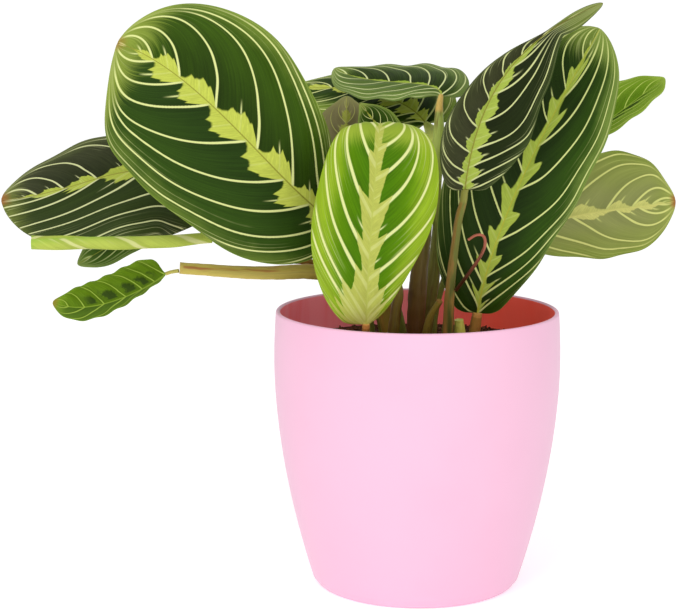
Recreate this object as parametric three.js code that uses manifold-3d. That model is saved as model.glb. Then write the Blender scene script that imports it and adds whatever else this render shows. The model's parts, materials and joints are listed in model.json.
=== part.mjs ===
// A prayer plant (maranta) in a round cover pot: patterned leaves on slim stalks,
// rooted in potting mix. Millimetres, +Z up, origin on the pot's axis at its base.
import * as THREE from 'three';
import Module from 'manifold-3d';
import { mergeVertices } from 'three/addons/utils/BufferGeometryUtils.js';

const wasm = await Module();
wasm.setup();

// Driving dimensions
const potHeight = 138;
const potRadius = 71; // at its widest ring, a little below the rim
const potWidestHeight = 112;
const potRimRadius = 70;
const potFootRadius = 51;
const potTaper = 1.8; // how late the wall turns in towards the foot
const potWall = 2.2;
const potFloor = 3;
const potSides = 56;
const soilBelowRim = 19;
const clearance = 0.3; // left between pieces that touch
const holeClearance = 0.6; // round a stalk that stands in the soil
const footDepth = 9; // how deep a stalk stands in the soil
const bladeThickness = 0.8;
const lobeLength = 4; // how far the blade runs back beside its stalk
const lobeStart = 3; // half width at which a lobe begins
const lobeSpread = 8; // further half width over which it grows to its full length
const tipLength = 2.5; // the small point at a leaf's tip
const marginSway = 0.6; // how far the margin swings out and in, as a share of its ripples
const soilTop = potHeight - soilBelowRim;

const colours = {
  pot: 0xf8cfe6,
  soil: 0x2c2119,
  dark: 0x2c5a1c,
  bronze: 0x414c2a,
  lime: 0x7db422,
  pale: 0xa9c268,
  bright: 0x5c9420,
  underside: 0x96a85c,
  taupe: 0x857b5c,
  stalk: 0x8c8348,
  redStalk: 0x7c5636,
  orangeStalk: 0xb07c40,
  paleShoot: 0xb4c070,
  dried: 0x9c5a48,
};

// Each leaf. rib: four control points of its midrib, from the stalk to the tip.
// left, right: half widths along it, seen on the upper face with the tip up.
// face: where the upper face looks, from base to tip. fold: how far each half is
// raised at the midrib, and curl: how far it bends on from there, in degrees.
// wave: height, count and start of the ripples along the margin.
// foot: where its stalk stands. via: the stalk's way up. radii: the stalk's, from the foot.
const leaves = {
  leaf_upper_left: {
    rib: [[-40, -22, 184], [-64, -52, 200], [-98, -66, 256], [-137.5, -52, 269]],
    left: [50, 47, 40, 72], right: [25, 28, 54, 45],
    face: [[-0.1, -1, 0.25], [-0.15, -1, 0.3]], fold: [6, 6], curl: [-10, -16],
    wave: [0.8, 3, 0.6], rows: 20, columns: 8, colour: colours.dark,
    foot: [-13, -18], via: [[-11, -18, 141], [-10, -18, 151], [-20, -15, 168]],
    radii: [3, 2.8, 2.2, 1.7, 1.5],
  },
  leaf_far_left: {
    rib: [[-102, 34, 190], [-141, 24, 220], [-157, 12, 196], [-203, 6, 192]],
    left: [50, 43, 30, 50], right: [28, 22, 24, 24],
    face: [[-0.1, -0.75, 0.65], [-0.3, -0.8, 0.5]], fold: [10, 14], curl: [-20, -20],
    wave: [0.7, 3, 2], rows: 18, columns: 6, colour: colours.bronze,
    foot: [-6, 20], via: [[-14, 24, 145], [-45, 32, 165], [-80, 36, 178]],
    radii: [2.4, 1.8, 1.5, 1.3, 1.3],
  },
  leaf_front: {
    rib: [[-26, -50, 139], [-25, -74, 196], [-16.5, -70, 270.5], [-21, -28, 212]],
    left: [39, 33, 9, 17], right: [15, 50, 18, 8],
    face: [[0, -1, 0.2], [0, -1, 0.5], [0, 0.6, 1]], fold: [6, 6], curl: [-25, -25],
    wave: [0.6, 3, 1], rows: 20, columns: 8, colour: colours.lime,
    foot: [-25, -44], via: [], radii: [2.2, 2, 1.7],
  },
  leaf_upper_right: {
    rib: [[20.5, -36, 201], [24, -42, 236], [37, -28, 268], [86, -4, 287]],
    left: [26, 28, -9, 6], right: [28, 38, 14, 10],
    face: [[0.3, -1, 0.1], [0.34, -0.96, 0.14], [0.38, -0.92, 0.18], [0.22, -0.78, 0.32], [-0.4, -0.35, 0.8],
      [0.1, -0.95, 0.3]], fold: [30, 6], curl: [-30, -15],
    wave: [0.5, 3, 0], rows: 18, columns: 6, colour: colours.bronze,
    foot: [14, -23],
    via: [[14.2, -25, 140], [14.7, -27, 154], [16, -30, 169], [18.2, -34, 188]],
    radii: [2.6, 2.6, 2.6, 2.3, 2, 1.9, 1.8],
  },
  leaf_tall_right: {
    rib: [[29, -12, 138], [35, -22, 185], [64, -15, 235], [88, 11, 273.5]],
    left: [31, 40, 33, 34], right: [27, 29, 29, 36],
    face: [[0.1, -1, 0.15], [0.1, -1, 0.3]], fold: [10, 6], curl: [-20, -20],
    wave: [0.8, 4, 1.5], rows: 22, columns: 8, colour: colours.dark,
    foot: [27, -9], via: [], radii: [3, 2.9, 2.4],
  },
  leaf_low_left: {
    rib: [[-123, -16, 158], [-133, -20, 150], [-158, -27, 139], [-173.5, -30, 145.5]],
    left: [2.5, 0, 7, 10.5], right: [23, 12.5, 12.6, 14.7],
    face: [[-0.1, -0.8, 0.6], [-0.1, -0.8, 0.6]], fold: [-10, 20], curl: [-30, -25],
    wave: [0.5, 6, 0], rows: 24, columns: 6, colour: colours.bright,
  },
  leaf_tucked_left: {
    rib: [[-108, 44, 183], [-131, 40, 177], [-151, 36, 169], [-170.5, 34, 157]],
    left: [5, 5, 12, 14], right: [9, 12, 17, 13],
    face: [[0, -0.8, 0.6], [0, -0.8, 0.6]], fold: [10, 10], curl: [-20, -20],
    wave: [0.5, 3, 1], rows: 14, columns: 6, colour: colours.dark,
    foot: [-16, 26], via: [[-26, 32, 146], [-60, 42, 168], [-88, 45, 182]],
    radii: [2, 1.7, 1.5, 1.3, 1.2],
  },
  leaf_top: {
    rib: [[11, 2, 243], [13, 10, 253], [-22, 34, 245], [-39, 50, 254]],
    left: [14, 22, 20, 20], right: [25, 25, 24, 22],
    face: [[0, -0.4, 0.95], [0, -0.4, 0.95]], fold: [4, 12], curl: [-20, -20],
    wave: [0.7, 4, 0.5], rows: 18, columns: 6, colour: colours.dark,
    foot: [3.2, 3],
    via: [[6, 2, 143], [8.3, 0, 160], [9.2, -2.5, 176], [9.5, -5, 191], [9.2, -5, 208], [9.8, -4, 224]],
    radii: [3.8, 4.1, 4.2, 3.7, 2.8, 2, 2, 3.2, 2.5, 1.2],
  },
  leaf_back: {
    rib: [[5, 28, 228], [-4, 36, 242], [-33, 60, 247], [-65, 80, 243]],
    left: [28, 32, 28, 22], right: [44, 32, 28, 22],
    face: [[0.2, -0.35, 0.95], [0, -0.25, 0.95]], fold: [-20, 20], curl: [-30, -20],
    wave: [0.7, 3, 0], rows: 18, columns: 6, colour: colours.dark,
    foot: [-1, -7],
    via: [[-0.5, -8, 143], [0.8, -9, 160], [3, -8.5, 176], [6, 1, 195], [7.5, 12, 212]],
    radii: [4.3, 4.3, 4.4, 4.4, 4.5, 4.2, 3.8, 3.3, 2.8, 2.5, 2.2, 2.7, 5.6, 5, 1.4],
  },
  leaf_far_right: {
    rib: [[52, 30, 173], [90, 36, 186], [110, 40, 183], [132.3, 44, 187]],
    left: [26, 26, 25, 30], right: [29, 33, 28, 33],
    face: [[0, 1, 0.3], [0, 1, 0.1]], fold: [6, 6], curl: [-10, -10],
    wave: [0.8, 3, 2], rows: 18, columns: 6, colour: colours.underside,
    foot: [15, 14], via: [[17, 16, 135], [28, 24, 158]], radii: [2.4, 2, 1.6, 1.4],
  },
  leaf_back_right: {
    rib: [[88, 50, 219], [102, 56, 229], [117, 62, 239], [129, 66, 248]],
    left: [15, 19, 17, 14], right: [15, 15, 8, 17],
    face: [[0, -0.5, 0.8], [0, -0.5, 0.8]], fold: [20, 30], curl: [-20, -20],
    wave: [0.7, 3, 1], rows: 14, columns: 6, colour: colours.bright,
    foot: [9, 24], via: [[12, 28, 140], [30, 38, 175], [60, 46, 205]],
    radii: [2.2, 1.8, 1.5, 1.3, 1.2],
  },
  leaf_back_left: {
    rib: [[-36, 16, 191], [-36, 16, 208], [-35, 16, 226], [-35, 16, 240]],
    left: [16, 20, 20, 16], right: [16, 20, 20, 16],
    face: [[0, 1, 0.3], [0, 1, 0.3]], fold: [6, 6], curl: [-10, -10],
    wave: [0.4, 3, 0], rows: 14, columns: 6, colour: colours.taupe,
    foot: [-22, 20], via: [[-26, 20, 145], [-35, 18, 168]], radii: [2, 1.7, 1.4, 1.2],
  },
  leaf_narrow_back: {
    rib: [[-7, -6, 210], [-14, -6, 221], [-21, -6, 231], [-27, -6, 238]],
    left: [9, 11, 11, 9], right: [9, 11, 11, 9],
    face: [[0, -0.9, 0.4], [0, -0.9, 0.4]], fold: [6, 6], curl: [-10, -10],
    wave: [0.3, 3, 0], rows: 12, columns: 4, colour: colours.dark,
    foot: [-1, 11], via: [[-1, 11, 150], [-3, 8, 180], [-4, 0, 198]], radii: [2, 1.8, 1.4, 1.2],
  },
};

// Stalks and shoots that carry no open leaf of their own.
const stems = {
  left_shoot: {
    path: [[-20, 2, 146], [-33, -4, 155], [-51, -8, 158], [-79, -12, 158], [-116, -16, 161]],
    foot: [-12, 4], radii: [4.2, 4.2, 4.2, 4, 3.5, 3.1, 2.9], colour: colours.redStalk,
  },
  side_branch: {
    path: [[5, -17, 135], [9.9, -23.6, 146]],
    foot: [3, -14], radii: [2, 1.9, 1.8, 1.5], colour: colours.stalk,
  },
  shoot_right: {
    path: [[19.5, -19, 136]], foot: [21, -17], radii: [3.4, 3.4, 2.2],
    colour: colours.paleShoot,
  },
  shoot_front_left: {
    path: [[-33, -43.5, 134]], foot: [-32, -43], radii: [1.8, 1.7, 0.5],
    colour: colours.taupe,
  },
  shoot_front_right: {
    path: [[-16, -43.5, 134]], foot: [-17, -43], radii: [2, 1.9, 0.5],
    colour: colours.taupe,
  },
  stalk_leaf_low_left: {
    path: [[-116.6, -16.1, 159.6], [-118.6, -15.8, 159.3], [-120.6, -15.8, 158.9], [-122.7, -15.9, 158.2]],
    radii: [1, 0.9, 0.9], stepLength: 2, colour: colours.orangeStalk,
  },
  stalk_leaf_furled: {
    path: [[-18, 13, 138], [-30, 11, 152], [-48, 6, 160], [-76, -8, 165], [-94, -20.5, 175.4],
      [-99.6, -21.9, 176]],
    foot: [-14, 14], radii: [2, 1.9, 1.7, 1.5, 1.4, 1.3], colour: colours.orangeStalk,
  },
  leaf_furled: {
    path: [[-100, -22, 176], [-104, -23, 176], [-129, -28, 175], [-157, -32, 175.5], [-185, -34, 176]],
    radii: [2.6, 3.3, 3.4, 3.5, 3.7, 3.9], sides: 12, colour: colours.pale,
  },
  dried_tendril: {
    path: [[17.4, -28.4, 152], [22.3, -34, 160], [28, -40, 170], [30, -42, 176], [29, -43, 180],
      [26, -43, 180.5], [22, -42, 178]],
    radii: [0.9, 0.9, 0.8, 0.7, 0.6], sides: 6, stepLength: 3, colour: colours.dried,
  },
};

const asVector = (point) => new THREE.Vector3(...point);

// A value part of the way along a short list, each step on a straight line.
function along(list, share) {
  const place = THREE.MathUtils.clamp(share, 0, 1) * (list.length - 1);
  const index = Math.min(Math.floor(place), list.length - 2);
  return THREE.MathUtils.lerp(list[index], list[index + 1], place - index);
}

// Half width of a blade: a Bezier of four sizes, rounded off at base and tip.
function halfWidth(sizes, u) {
  const w = 1 - u;
  const size = w ** 3 * sizes[0] + 3 * w * w * u * sizes[1] + 3 * w * u * u * sizes[2] + u ** 3 * sizes[3];
  return size * Math.sqrt(Math.max(4 * u * w, 0));
}

// The direction that the upper face looks in at u, across the rib.
function faceDirection(faces, tangent, u) {
  const unit = faces.map((face) => asVector(face).normalize());
  const place = u * (unit.length - 1);
  const index = Math.min(Math.floor(place), unit.length - 2);
  const face = unit[index].clone().lerp(unit[index + 1], place - index);
  return face.addScaledVector(tangent, -face.dot(tangent)).normalize();
}

// The middle surface of a blade: u runs from base to tip, v from the left margin, -1, to the right, 1.
function bladeSurface(leaf) {
  const rib = new THREE.CubicBezierCurve3(...leaf.rib.map(asVector));
  return (u, v) => {
    const tangent = rib.getTangent(u);
    const up = faceDirection(leaf.face, tangent, u);
    const side = tangent.clone().cross(up);
    const share = Math.abs(v);
    const half = v < 0 ? 0 : 1;
    const [height, count, start] = leaf.wave;
    const phase = 2 * Math.PI * count * u + start + (v < 0 ? 1.3 : 0);
    const swing = height * Math.sqrt(Math.sin(Math.PI * u));
    const width = halfWidth(v < 0 ? leaf.left : leaf.right, u) + marginSway * swing * Math.cos(phase);
    const fold = THREE.MathUtils.degToRad(leaf.fold[half]);
    const curl = THREE.MathUtils.degToRad(leaf.curl[half]);
    const across = ((Math.sin(fold + curl * share) - Math.sin(fold)) / curl) * width;
    const ripple = swing * Math.sin(phase) * share ** 2.2;
    const rise = ((Math.cos(fold) - Math.cos(fold + curl * share)) / curl) * width + ripple;
    const grown = THREE.MathUtils.clamp((width - lobeStart) / lobeSpread, 0, 1);
    const lobe = lobeLength * share ** 2 * (1 - u) ** 7 * grown;
    return rib.getPoint(u)
      .addScaledVector(tangent, tipLength * u ** 50 - lobe)
      .addScaledVector(side, Math.sign(v) * across)
      .addScaledVector(up, rise);
  };
}

// A thin closed blade, split into triangles alike on both faces.
function bladeGeometry(leaf) {
  const surface = bladeSurface(leaf);
  const step = 0.01;
  const points = [];
  const faces = [];
  const rings = leaf.rows - 1;
  const wide = leaf.columns + 1;
  for (let row = 1; row <= rings; row += 1) {
    const u = (1 - Math.cos((Math.PI * row) / leaf.rows)) / 2;
    for (let column = 0; column < wide; column += 1) {
      const v = (2 * column) / leaf.columns - 1;
      const lengthwise = surface(Math.min(u + step, 1), v).sub(surface(Math.max(u - step, 0), v));
      const crosswise = surface(u, Math.min(v + step, 1)).sub(surface(u, Math.max(v - step, -1)));
      const normal = lengthwise.cross(crosswise).normalize().multiplyScalar(-bladeThickness / 2);
      const middle = surface(u, v);
      points.push(middle.clone().sub(normal), middle.clone().add(normal));
    }
  }
  const base = points.push(surface(0, 0)) - 1;
  const tip = points.push(surface(1, 0)) - 1;
  const under = (ring, column) => 2 * (ring * wide + column);
  const over = (ring, column) => under(ring, column) + 1;
  for (let column = 0; column < leaf.columns; column += 1) {
    for (let ring = 0; ring < rings - 1; ring += 1) {
      const corners = [[ring, column], [ring, column + 1], [ring + 1, column + 1], [ring + 1, column]];
      const [a, b, c, d] = corners.map((corner) => under(...corner));
      const [e, f, g, h] = corners.map((corner) => over(...corner));
      faces.push([a, c, b], [a, d, c], [e, f, g], [e, g, h]);
    }
    faces.push([base, under(0, column), under(0, column + 1)]);
    faces.push([base, over(0, column + 1), over(0, column)]);
    faces.push([tip, under(rings - 1, column + 1), under(rings - 1, column)]);
    faces.push([tip, over(rings - 1, column), over(rings - 1, column + 1)]);
  }
  const last = leaf.columns;
  for (let ring = 0; ring < rings - 1; ring += 1) {
    faces.push([under(ring, 0), over(ring, 0), over(ring + 1, 0)]);
    faces.push([under(ring, 0), over(ring + 1, 0), under(ring + 1, 0)]);
    faces.push([under(ring, last), over(ring + 1, last), over(ring, last)]);
    faces.push([under(ring, last), under(ring + 1, last), over(ring + 1, last)]);
  }
  faces.push([base, over(0, 0), under(0, 0)], [base, under(0, last), over(0, last)]);
  faces.push([tip, under(rings - 1, 0), over(rings - 1, 0)]);
  faces.push([tip, over(rings - 1, last), under(rings - 1, last)]);
  return solidGeometry(points, faces);
}

// A round stalk along a smooth path, its radius given at even shares of the way.
function stalkGeometry({ path, radii, sides = 8, stepLength = 8 }) {
  const curve = new THREE.CatmullRomCurve3(path.map(asVector), false, 'centripetal');
  const steps = Math.max(5, Math.round(curve.getLength() / stepLength));
  const frames = curve.computeFrenetFrames(steps, false);
  const points = [];
  const faces = [];
  for (let ring = 0; ring <= steps; ring += 1) {
    const centre = curve.getPointAt(ring / steps);
    const radius = along(radii, ring / steps);
    for (let side = 0; side < sides; side += 1) {
      const angle = (2 * Math.PI * side) / sides;
      points.push(centre.clone()
        .addScaledVector(frames.normals[ring], radius * Math.cos(angle))
        .addScaledVector(frames.binormals[ring], radius * Math.sin(angle)));
    }
  }
  for (let side = 0; side < sides; side += 1) {
    const next = (side + 1) % sides;
    for (let ring = 0; ring < steps; ring += 1) {
      const [a, b] = [ring * sides + side, ring * sides + next];
      const [c, d] = [a + sides, b + sides];
      faces.push([a, b, d], [a, d, c]);
    }
  }
  const end = steps * sides;
  for (let side = 1; side < sides - 1; side += 1) {
    faces.push([0, side + 1, side], [end, end + side, end + side + 1]);
  }
  return solidGeometry(points, faces);
}

function solidGeometry(points, faces) {
  const geometry = new THREE.BufferGeometry().setFromPoints(points);
  geometry.setIndex(faces.flat());
  geometry.computeVertexNormals();
  return geometry;
}

// The way of a stalk from the bottom of its hole in the soil.
function rootedPath([x, y], rest) {
  return [[x, y, soilTop - footDepth], [x, y, soilTop + 1], ...rest];
}

// A leaf's stalk ends just short of its blade, in line with the rib.
function leafStalk(leaf) {
  const rib = new THREE.CubicBezierCurve3(...leaf.rib.map(asVector));
  const tangent = rib.getTangent(0);
  const ends = [6, clearance + 0.15].map((back) => rib.getPoint(0).addScaledVector(tangent, -back).toArray());
  return { path: rootedPath(leaf.foot, [...leaf.via, ...ends]), radii: leaf.radii };
}

// The pot's outer radius at a height.
function potOuterRadius(z) {
  if (z > potWidestHeight) {
    const share = (z - potWidestHeight) / (potHeight - potWidestHeight);
    return potRadius - (potRadius - potRimRadius) * share ** 2;
  }
  return potRadius - (potRadius - potFootRadius) * ((potWidestHeight - z) / potWidestHeight) ** potTaper;
}

function lathe(profile) {
  const outline = profile.map(([radius, height]) => new THREE.Vector2(radius, height));
  return new THREE.LatheGeometry(outline, potSides).rotateX(Math.PI / 2);
}

const wallHeights = [8, 18, 32, 50, 70, 90, 112, 126];

function potGeometry() {
  const rimRound = potWall / 2;
  const top = potHeight - rimRound;
  const outside = wallHeights.map((z) => [potOuterRadius(z), z]);
  const inside = wallHeights.map((z) => [potOuterRadius(z) - potWall, z]).reverse();
  const rim = [0, 45, 90, 135, 180].map((degrees) => {
    const angle = THREE.MathUtils.degToRad(degrees);
    const centre = potOuterRadius(top) - rimRound;
    return [centre + rimRound * Math.cos(angle), top + rimRound * Math.sin(angle)];
  });
  return lathe([
    [0, 0], [potFootRadius - 2.5, 0], [potFootRadius - 0.7, 0.8], [potOuterRadius(2.5), 2.5],
    ...outside, ...rim, ...inside, [potOuterRadius(potFloor) - potWall, potFloor], [0, potFloor],
  ]);
}

// The potting mix fills the pot, with a plain hole for each stalk that stands in it.
function soilGeometry(feet) {
  const inset = potWall + clearance;
  const bottom = potFloor + clearance;
  const walls = wallHeights.filter((z) => z < soilTop).map((z) => [potOuterRadius(z) - inset, z]);
  const fill = lathe([
    [0, bottom], [potOuterRadius(bottom) - inset, bottom], ...walls,
    [potOuterRadius(soilTop) - inset, soilTop], [0, soilTop],
  ]);
  const depth = footDepth + clearance;
  let solid = asSolid(fill);
  for (const { foot: [x, y], radius } of feet) {
    const hole = new THREE.CylinderGeometry(radius + holeClearance, radius + holeClearance, 2 * depth, 12);
    hole.rotateX(Math.PI / 2).translate(x, y, soilTop);
    solid = solid.subtract(asSolid(hole));
  }
  return asGeometry(solid);
}

function asSolid(source) {
  const plain = source.clone();
  plain.deleteAttribute('normal');
  plain.deleteAttribute('uv');
  const merged = mergeVertices(plain, 1e-4);
  const corners = Array.from(merged.index.array);
  const triangles = [];
  for (let i = 0; i < corners.length; i += 3) {
    const [a, b, c] = corners.slice(i, i + 3);
    if (a !== b && b !== c && c !== a) {
      triangles.push(a, b, c);
    }
  }
  return new wasm.Manifold(new wasm.Mesh({
    numProp: 3,
    vertProperties: Float32Array.from(merged.attributes.position.array),
    triVerts: Uint32Array.from(triangles),
  }));
}

function asGeometry(solid) {
  const { vertProperties, triVerts } = solid.getMesh();
  const geometry = new THREE.BufferGeometry();
  geometry.setAttribute('position', new THREE.BufferAttribute(vertProperties, 3));
  geometry.setIndex(Array.from(triVerts));
  geometry.computeVertexNormals();
  return geometry;
}

function piece(name, geometry, color, roughness) {
  const mesh = new THREE.Mesh(geometry, new THREE.MeshStandardMaterial({ color, roughness, metalness: 0 }));
  mesh.name = name;
  return mesh;
}

const plant = new THREE.Group();
const feet = [];

for (const [name, leaf] of Object.entries(leaves)) {
  plant.add(piece(name, bladeGeometry(leaf), leaf.colour, 0.45));
  if (leaf.foot) {
    plant.add(piece(`stalk_${name}`, stalkGeometry(leafStalk(leaf)), colours.stalk, 0.5));
    feet.push({ foot: leaf.foot, radius: leaf.radii[0] });
  }
}

for (const [name, stem] of Object.entries(stems)) {
  const path = stem.foot ? rootedPath(stem.foot, stem.path) : stem.path;
  plant.add(piece(name, stalkGeometry({ ...stem, path }), stem.colour, 0.5));
  if (stem.foot) {
    feet.push({ foot: stem.foot, radius: stem.radii[0] });
  }
}

plant.add(piece('cover_pot', potGeometry(), colours.pot, 0.35));
plant.add(piece('potting_mix', soilGeometry(feet), colours.soil, 0.95));

export default plant;
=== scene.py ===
import bpy
import json
import math
import numpy as np
from mathutils import Euler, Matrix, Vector


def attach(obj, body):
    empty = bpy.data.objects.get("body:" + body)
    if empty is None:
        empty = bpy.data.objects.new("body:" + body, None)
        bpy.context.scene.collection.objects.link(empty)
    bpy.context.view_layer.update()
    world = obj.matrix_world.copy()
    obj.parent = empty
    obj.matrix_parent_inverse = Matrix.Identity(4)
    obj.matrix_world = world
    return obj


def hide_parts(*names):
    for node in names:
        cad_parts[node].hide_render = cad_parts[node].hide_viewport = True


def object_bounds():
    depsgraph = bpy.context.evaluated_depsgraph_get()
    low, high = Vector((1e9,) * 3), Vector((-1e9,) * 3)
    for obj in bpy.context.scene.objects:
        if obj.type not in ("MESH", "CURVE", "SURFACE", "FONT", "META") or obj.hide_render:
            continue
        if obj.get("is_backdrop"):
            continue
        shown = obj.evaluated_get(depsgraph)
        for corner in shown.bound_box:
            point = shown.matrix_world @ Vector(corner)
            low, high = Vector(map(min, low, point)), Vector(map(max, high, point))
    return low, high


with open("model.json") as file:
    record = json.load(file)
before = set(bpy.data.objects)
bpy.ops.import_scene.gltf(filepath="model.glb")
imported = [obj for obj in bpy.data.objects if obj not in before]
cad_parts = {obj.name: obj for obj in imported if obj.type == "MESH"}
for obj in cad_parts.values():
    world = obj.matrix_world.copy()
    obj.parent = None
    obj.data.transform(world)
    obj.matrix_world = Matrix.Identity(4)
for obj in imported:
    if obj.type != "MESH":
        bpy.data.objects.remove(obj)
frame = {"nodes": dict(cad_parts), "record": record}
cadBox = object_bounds()
mm = 0.001
print("frame loaded:", len(frame["nodes"]), "nodes")


def addObject(name, data):
    thing = bpy.data.objects.new(name, data)
    bpy.context.scene.collection.objects.link(thing)
    return thing


# The camera stands in front of the plant and a little above it. Millimetres and degrees.
camera = {"place": (-38.5, -900.0, 286.2), "pitch": 9.2, "lens": 97.5, "sensor": 36.0}
cameraData = bpy.data.cameras.new("plantCamera")
cameraData.lens = camera["lens"]
cameraData.sensor_width = camera["sensor"]
cameraObject = addObject("plantCamera", cameraData)
cameraObject.location = Vector(camera["place"]) * mm
cameraObject.rotation_euler = Euler((math.radians(90 - camera["pitch"]), 0, 0))
bpy.context.scene.camera = cameraObject
bpy.context.scene.view_settings.view_transform = "Standard"


# What a node hands on. Sums and products with it place math nodes.
class Value:
    def __init__(self, nodes, socket):
        self.nodes = nodes
        self.socket = socket

    def __add__(self, other):
        return self.nodes.calc("ADD", self, other)

    def __sub__(self, other):
        return self.nodes.calc("SUBTRACT", self, other)

    def __rsub__(self, other):
        return self.nodes.calc("SUBTRACT", other, self)

    def __mul__(self, other):
        return self.nodes.calc("MULTIPLY", self, other)

    def __truediv__(self, other):
        return self.nodes.calc("DIVIDE", self, other)

    def __pow__(self, other):
        return self.nodes.calc("POWER", self, other)

    def __abs__(self):
        return self.nodes.calc("ABSOLUTE", self)

    __radd__ = __add__
    __rmul__ = __mul__


# Places nodes in a tree. Below, n is always the tree that is being built.
class Nodes:
    def __init__(self, tree):
        self.tree = tree

    def feed(self, socket, value):
        if isinstance(value, Value):
            self.tree.links.new(value.socket, socket)
        elif value is not None:
            socket.default_value = value

    def add(self, kind, inputs=(), out=0, **settings):
        node = self.tree.nodes.new(kind)
        for name, value in settings.items():
            setattr(node, name, value)
        for name, value in dict(inputs).items():
            self.feed(node.inputs[name], value)
        return Value(self, node.outputs[out])

    def calc(self, operation, *values):
        return self.add("ShaderNodeMath", dict(enumerate(values)), operation=operation)

    def fade(self, value, low, high):
        inputs = {"Value": value, "From Min": low, "From Max": high}
        return self.add("ShaderNodeMapRange", inputs, interpolation_type="SMOOTHSTEP")

    def unfade(self, value, low, high):
        return 1.0 - self.fade(value, low, high)

    def bell(self, value, width):
        ratio = value / width
        return self.calc("EXPONENT", ratio * ratio * -1.0)

    def mix(self, share, first, second):
        return self.add("ShaderNodeMix", {0: share, 6: first, 7: second}, out=2, data_type="RGBA")

    def noise(self, vector, scale, detail=2.0, rough=0.5):
        inputs = {"Vector": vector, "Scale": scale, "Detail": detail, "Roughness": rough}
        return self.add("ShaderNodeTexNoise", inputs)

    def join(self, x, y, z):
        return self.add("ShaderNodeCombineXYZ", {0: x, 1: y, 2: z})

    def split(self, vector):
        parts = self.add("ShaderNodeSeparateXYZ", {0: vector}).socket.node.outputs
        return [Value(self, part) for part in parts]

    def stretch(self, vector, amount):
        return self.add("ShaderNodeVectorMath", {0: vector, "Scale": amount}, operation="SCALE")

    def read(self, name, kind="FLOAT_VECTOR"):
        return self.add("GeometryNodeInputNamedAttribute", {"Name": name}, data_type=kind)

    def store(self, geometry, name, value, kind="FLOAT_VECTOR", domain="POINT"):
        inputs = {"Geometry": geometry, "Name": name, "Value": value}
        return self.add("GeometryNodeStoreNamedAttribute", inputs, data_type=kind, domain=domain)

    def move(self, geometry, offset, chosen=None):
        inputs = {"Geometry": geometry, "Offset": offset, "Selection": chosen}
        return self.add("GeometryNodeSetPosition", inputs)

    def paint(self, geometry, material, chosen=None):
        whole = self.add("GeometryNodeRealizeInstances", {"Geometry": geometry})
        inputs = {"Geometry": whole, "Material": material, "Selection": chosen}
        return self.add("GeometryNodeSetMaterial", inputs)


# A node group. Each input is named with its kind, or with the number that it starts from.
def newGroup(name, treeKind, inputs, outputs):
    tree = bpy.data.node_groups.new(name, treeKind)
    for label, value in inputs.items():
        kind = value if isinstance(value, str) else "Float"
        socket = tree.interface.new_socket(label, in_out="INPUT", socket_type="NodeSocket" + kind)
        if kind != value:
            socket.default_value = value
    for label, kind in outputs.items():
        tree.interface.new_socket(label, in_out="OUTPUT", socket_type="NodeSocket" + kind)
    nodes = Nodes(tree)
    given = {socket.name: Value(nodes, socket) for socket in tree.nodes.new("NodeGroupInput").outputs}
    return tree, nodes, given, tree.nodes.new("NodeGroupOutput").inputs


# A colour from 0 to 255 as it looks on a screen, turned into shares of light.
def colour(red, green, blue):
    shares = [c / 255 for c in (red, green, blue)]
    return (*[c / 12.92 if c <= 0.04 else ((c + 0.055) / 1.055) ** 2.4 for c in shares], 1.0)


skinResults = {"Color": "Color", "Roughness": "Float", "Height": "Float"}
shapeResults = {"Geometry": "Geometry"}

# Markings of a prayer plant's leaf, with painted light and shade on its left half. Rib Place holds
# the signed share of the half width and the half width; Vein Place holds the vein count, the
# distance between veins and the share of the length. Distances are millimetres.
leafMarkings, n, given, result = newGroup("leafMarkings", "ShaderNodeTree", {
    "Rib Place": "Vector", "Vein Place": "Vector", "Position": "Vector",
    "Near Rib": "Color", "Middle": "Color", "Edge": "Color", "Vein": "Color", "Feather": "Color",
    "Midrib": "Color", "Vein Width": 0.6, "Feather Reach": 0.3, "Toothed": 0.0, "Stepped": 0.0,
    "Even": 0.0, "Taper": 0.5, "Feather End": 0.97, "Left Reach": 1.0, "Edge Width": 0.0,
    "Edge Rise": 0.0, "Pale Base": 0.0, "Blotch": 0.0, "Left Painted Shading": 0.0, "Left Shading Color": "Color",
    "Tip Brown": 0.0, "Tip Glow": 0.45, "Glow Start": 0.9, "Streaks": 0.25, "Seed": 0.0,
}, skinResults)
side, half, _ = n.split(given["Rib Place"])
count, apart, share = n.split(given["Vein Place"])
outward = abs(side)
across = outward * half
onLeft = n.calc("LESS_THAN", side, 0.0)
seeded = count + given["Seed"] + onLeft * 40.0


# Noise that follows the side veins.
def veinNoise(acrossVeins, alongVeins, detail, rough=0.5, layer=0.0):
    return n.noise(n.join(seeded * acrossVeins, outward * alongVeins, layer), 1.0, detail, rough)


wander = veinNoise(1.7, 2.5, 1.0)
index = count + (wander - 0.5) * 0.12
step = n.calc("FRACT", index)

# Feather: lobes between the side veins, as ragged plateaus, as teeth that point to the tip or as steps.
number = n.calc("FLOOR", index + (seeded - count))
lobeRandom = n.add("ShaderNodeTexWhiteNoise", {"W": number}, noise_dimensions="1D")
jag = veinNoise(7.0, 2.0, 2.0, 0.6, given["Seed"])
shifted = step + (lobeRandom - 0.5) * (step * (1.0 - step)) * 0.3
lobeShapes = {
    "plateau": [(0.0, 0.1), (0.06, 0.45), (0.14, 0.86), (0.2, 0.74), (0.32, 1.0), (0.42, 0.78),
                (0.54, 0.66), (0.62, 0.76), (0.72, 0.42), (0.85, 0.2), (1.0, 0.08)],
    "tooth": [(0.0, 0.3), (0.16, 0.62), (0.38, 1.0), (0.54, 0.36), (0.75, 0.24), (1.0, 0.22)],
    "stepped": [(0.0, 0.96), (0.1, 1.0), (0.17, 0.4), (0.45, 0.5), (0.8, 0.76), (1.0, 0.95)],
}
lobes = []
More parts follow.
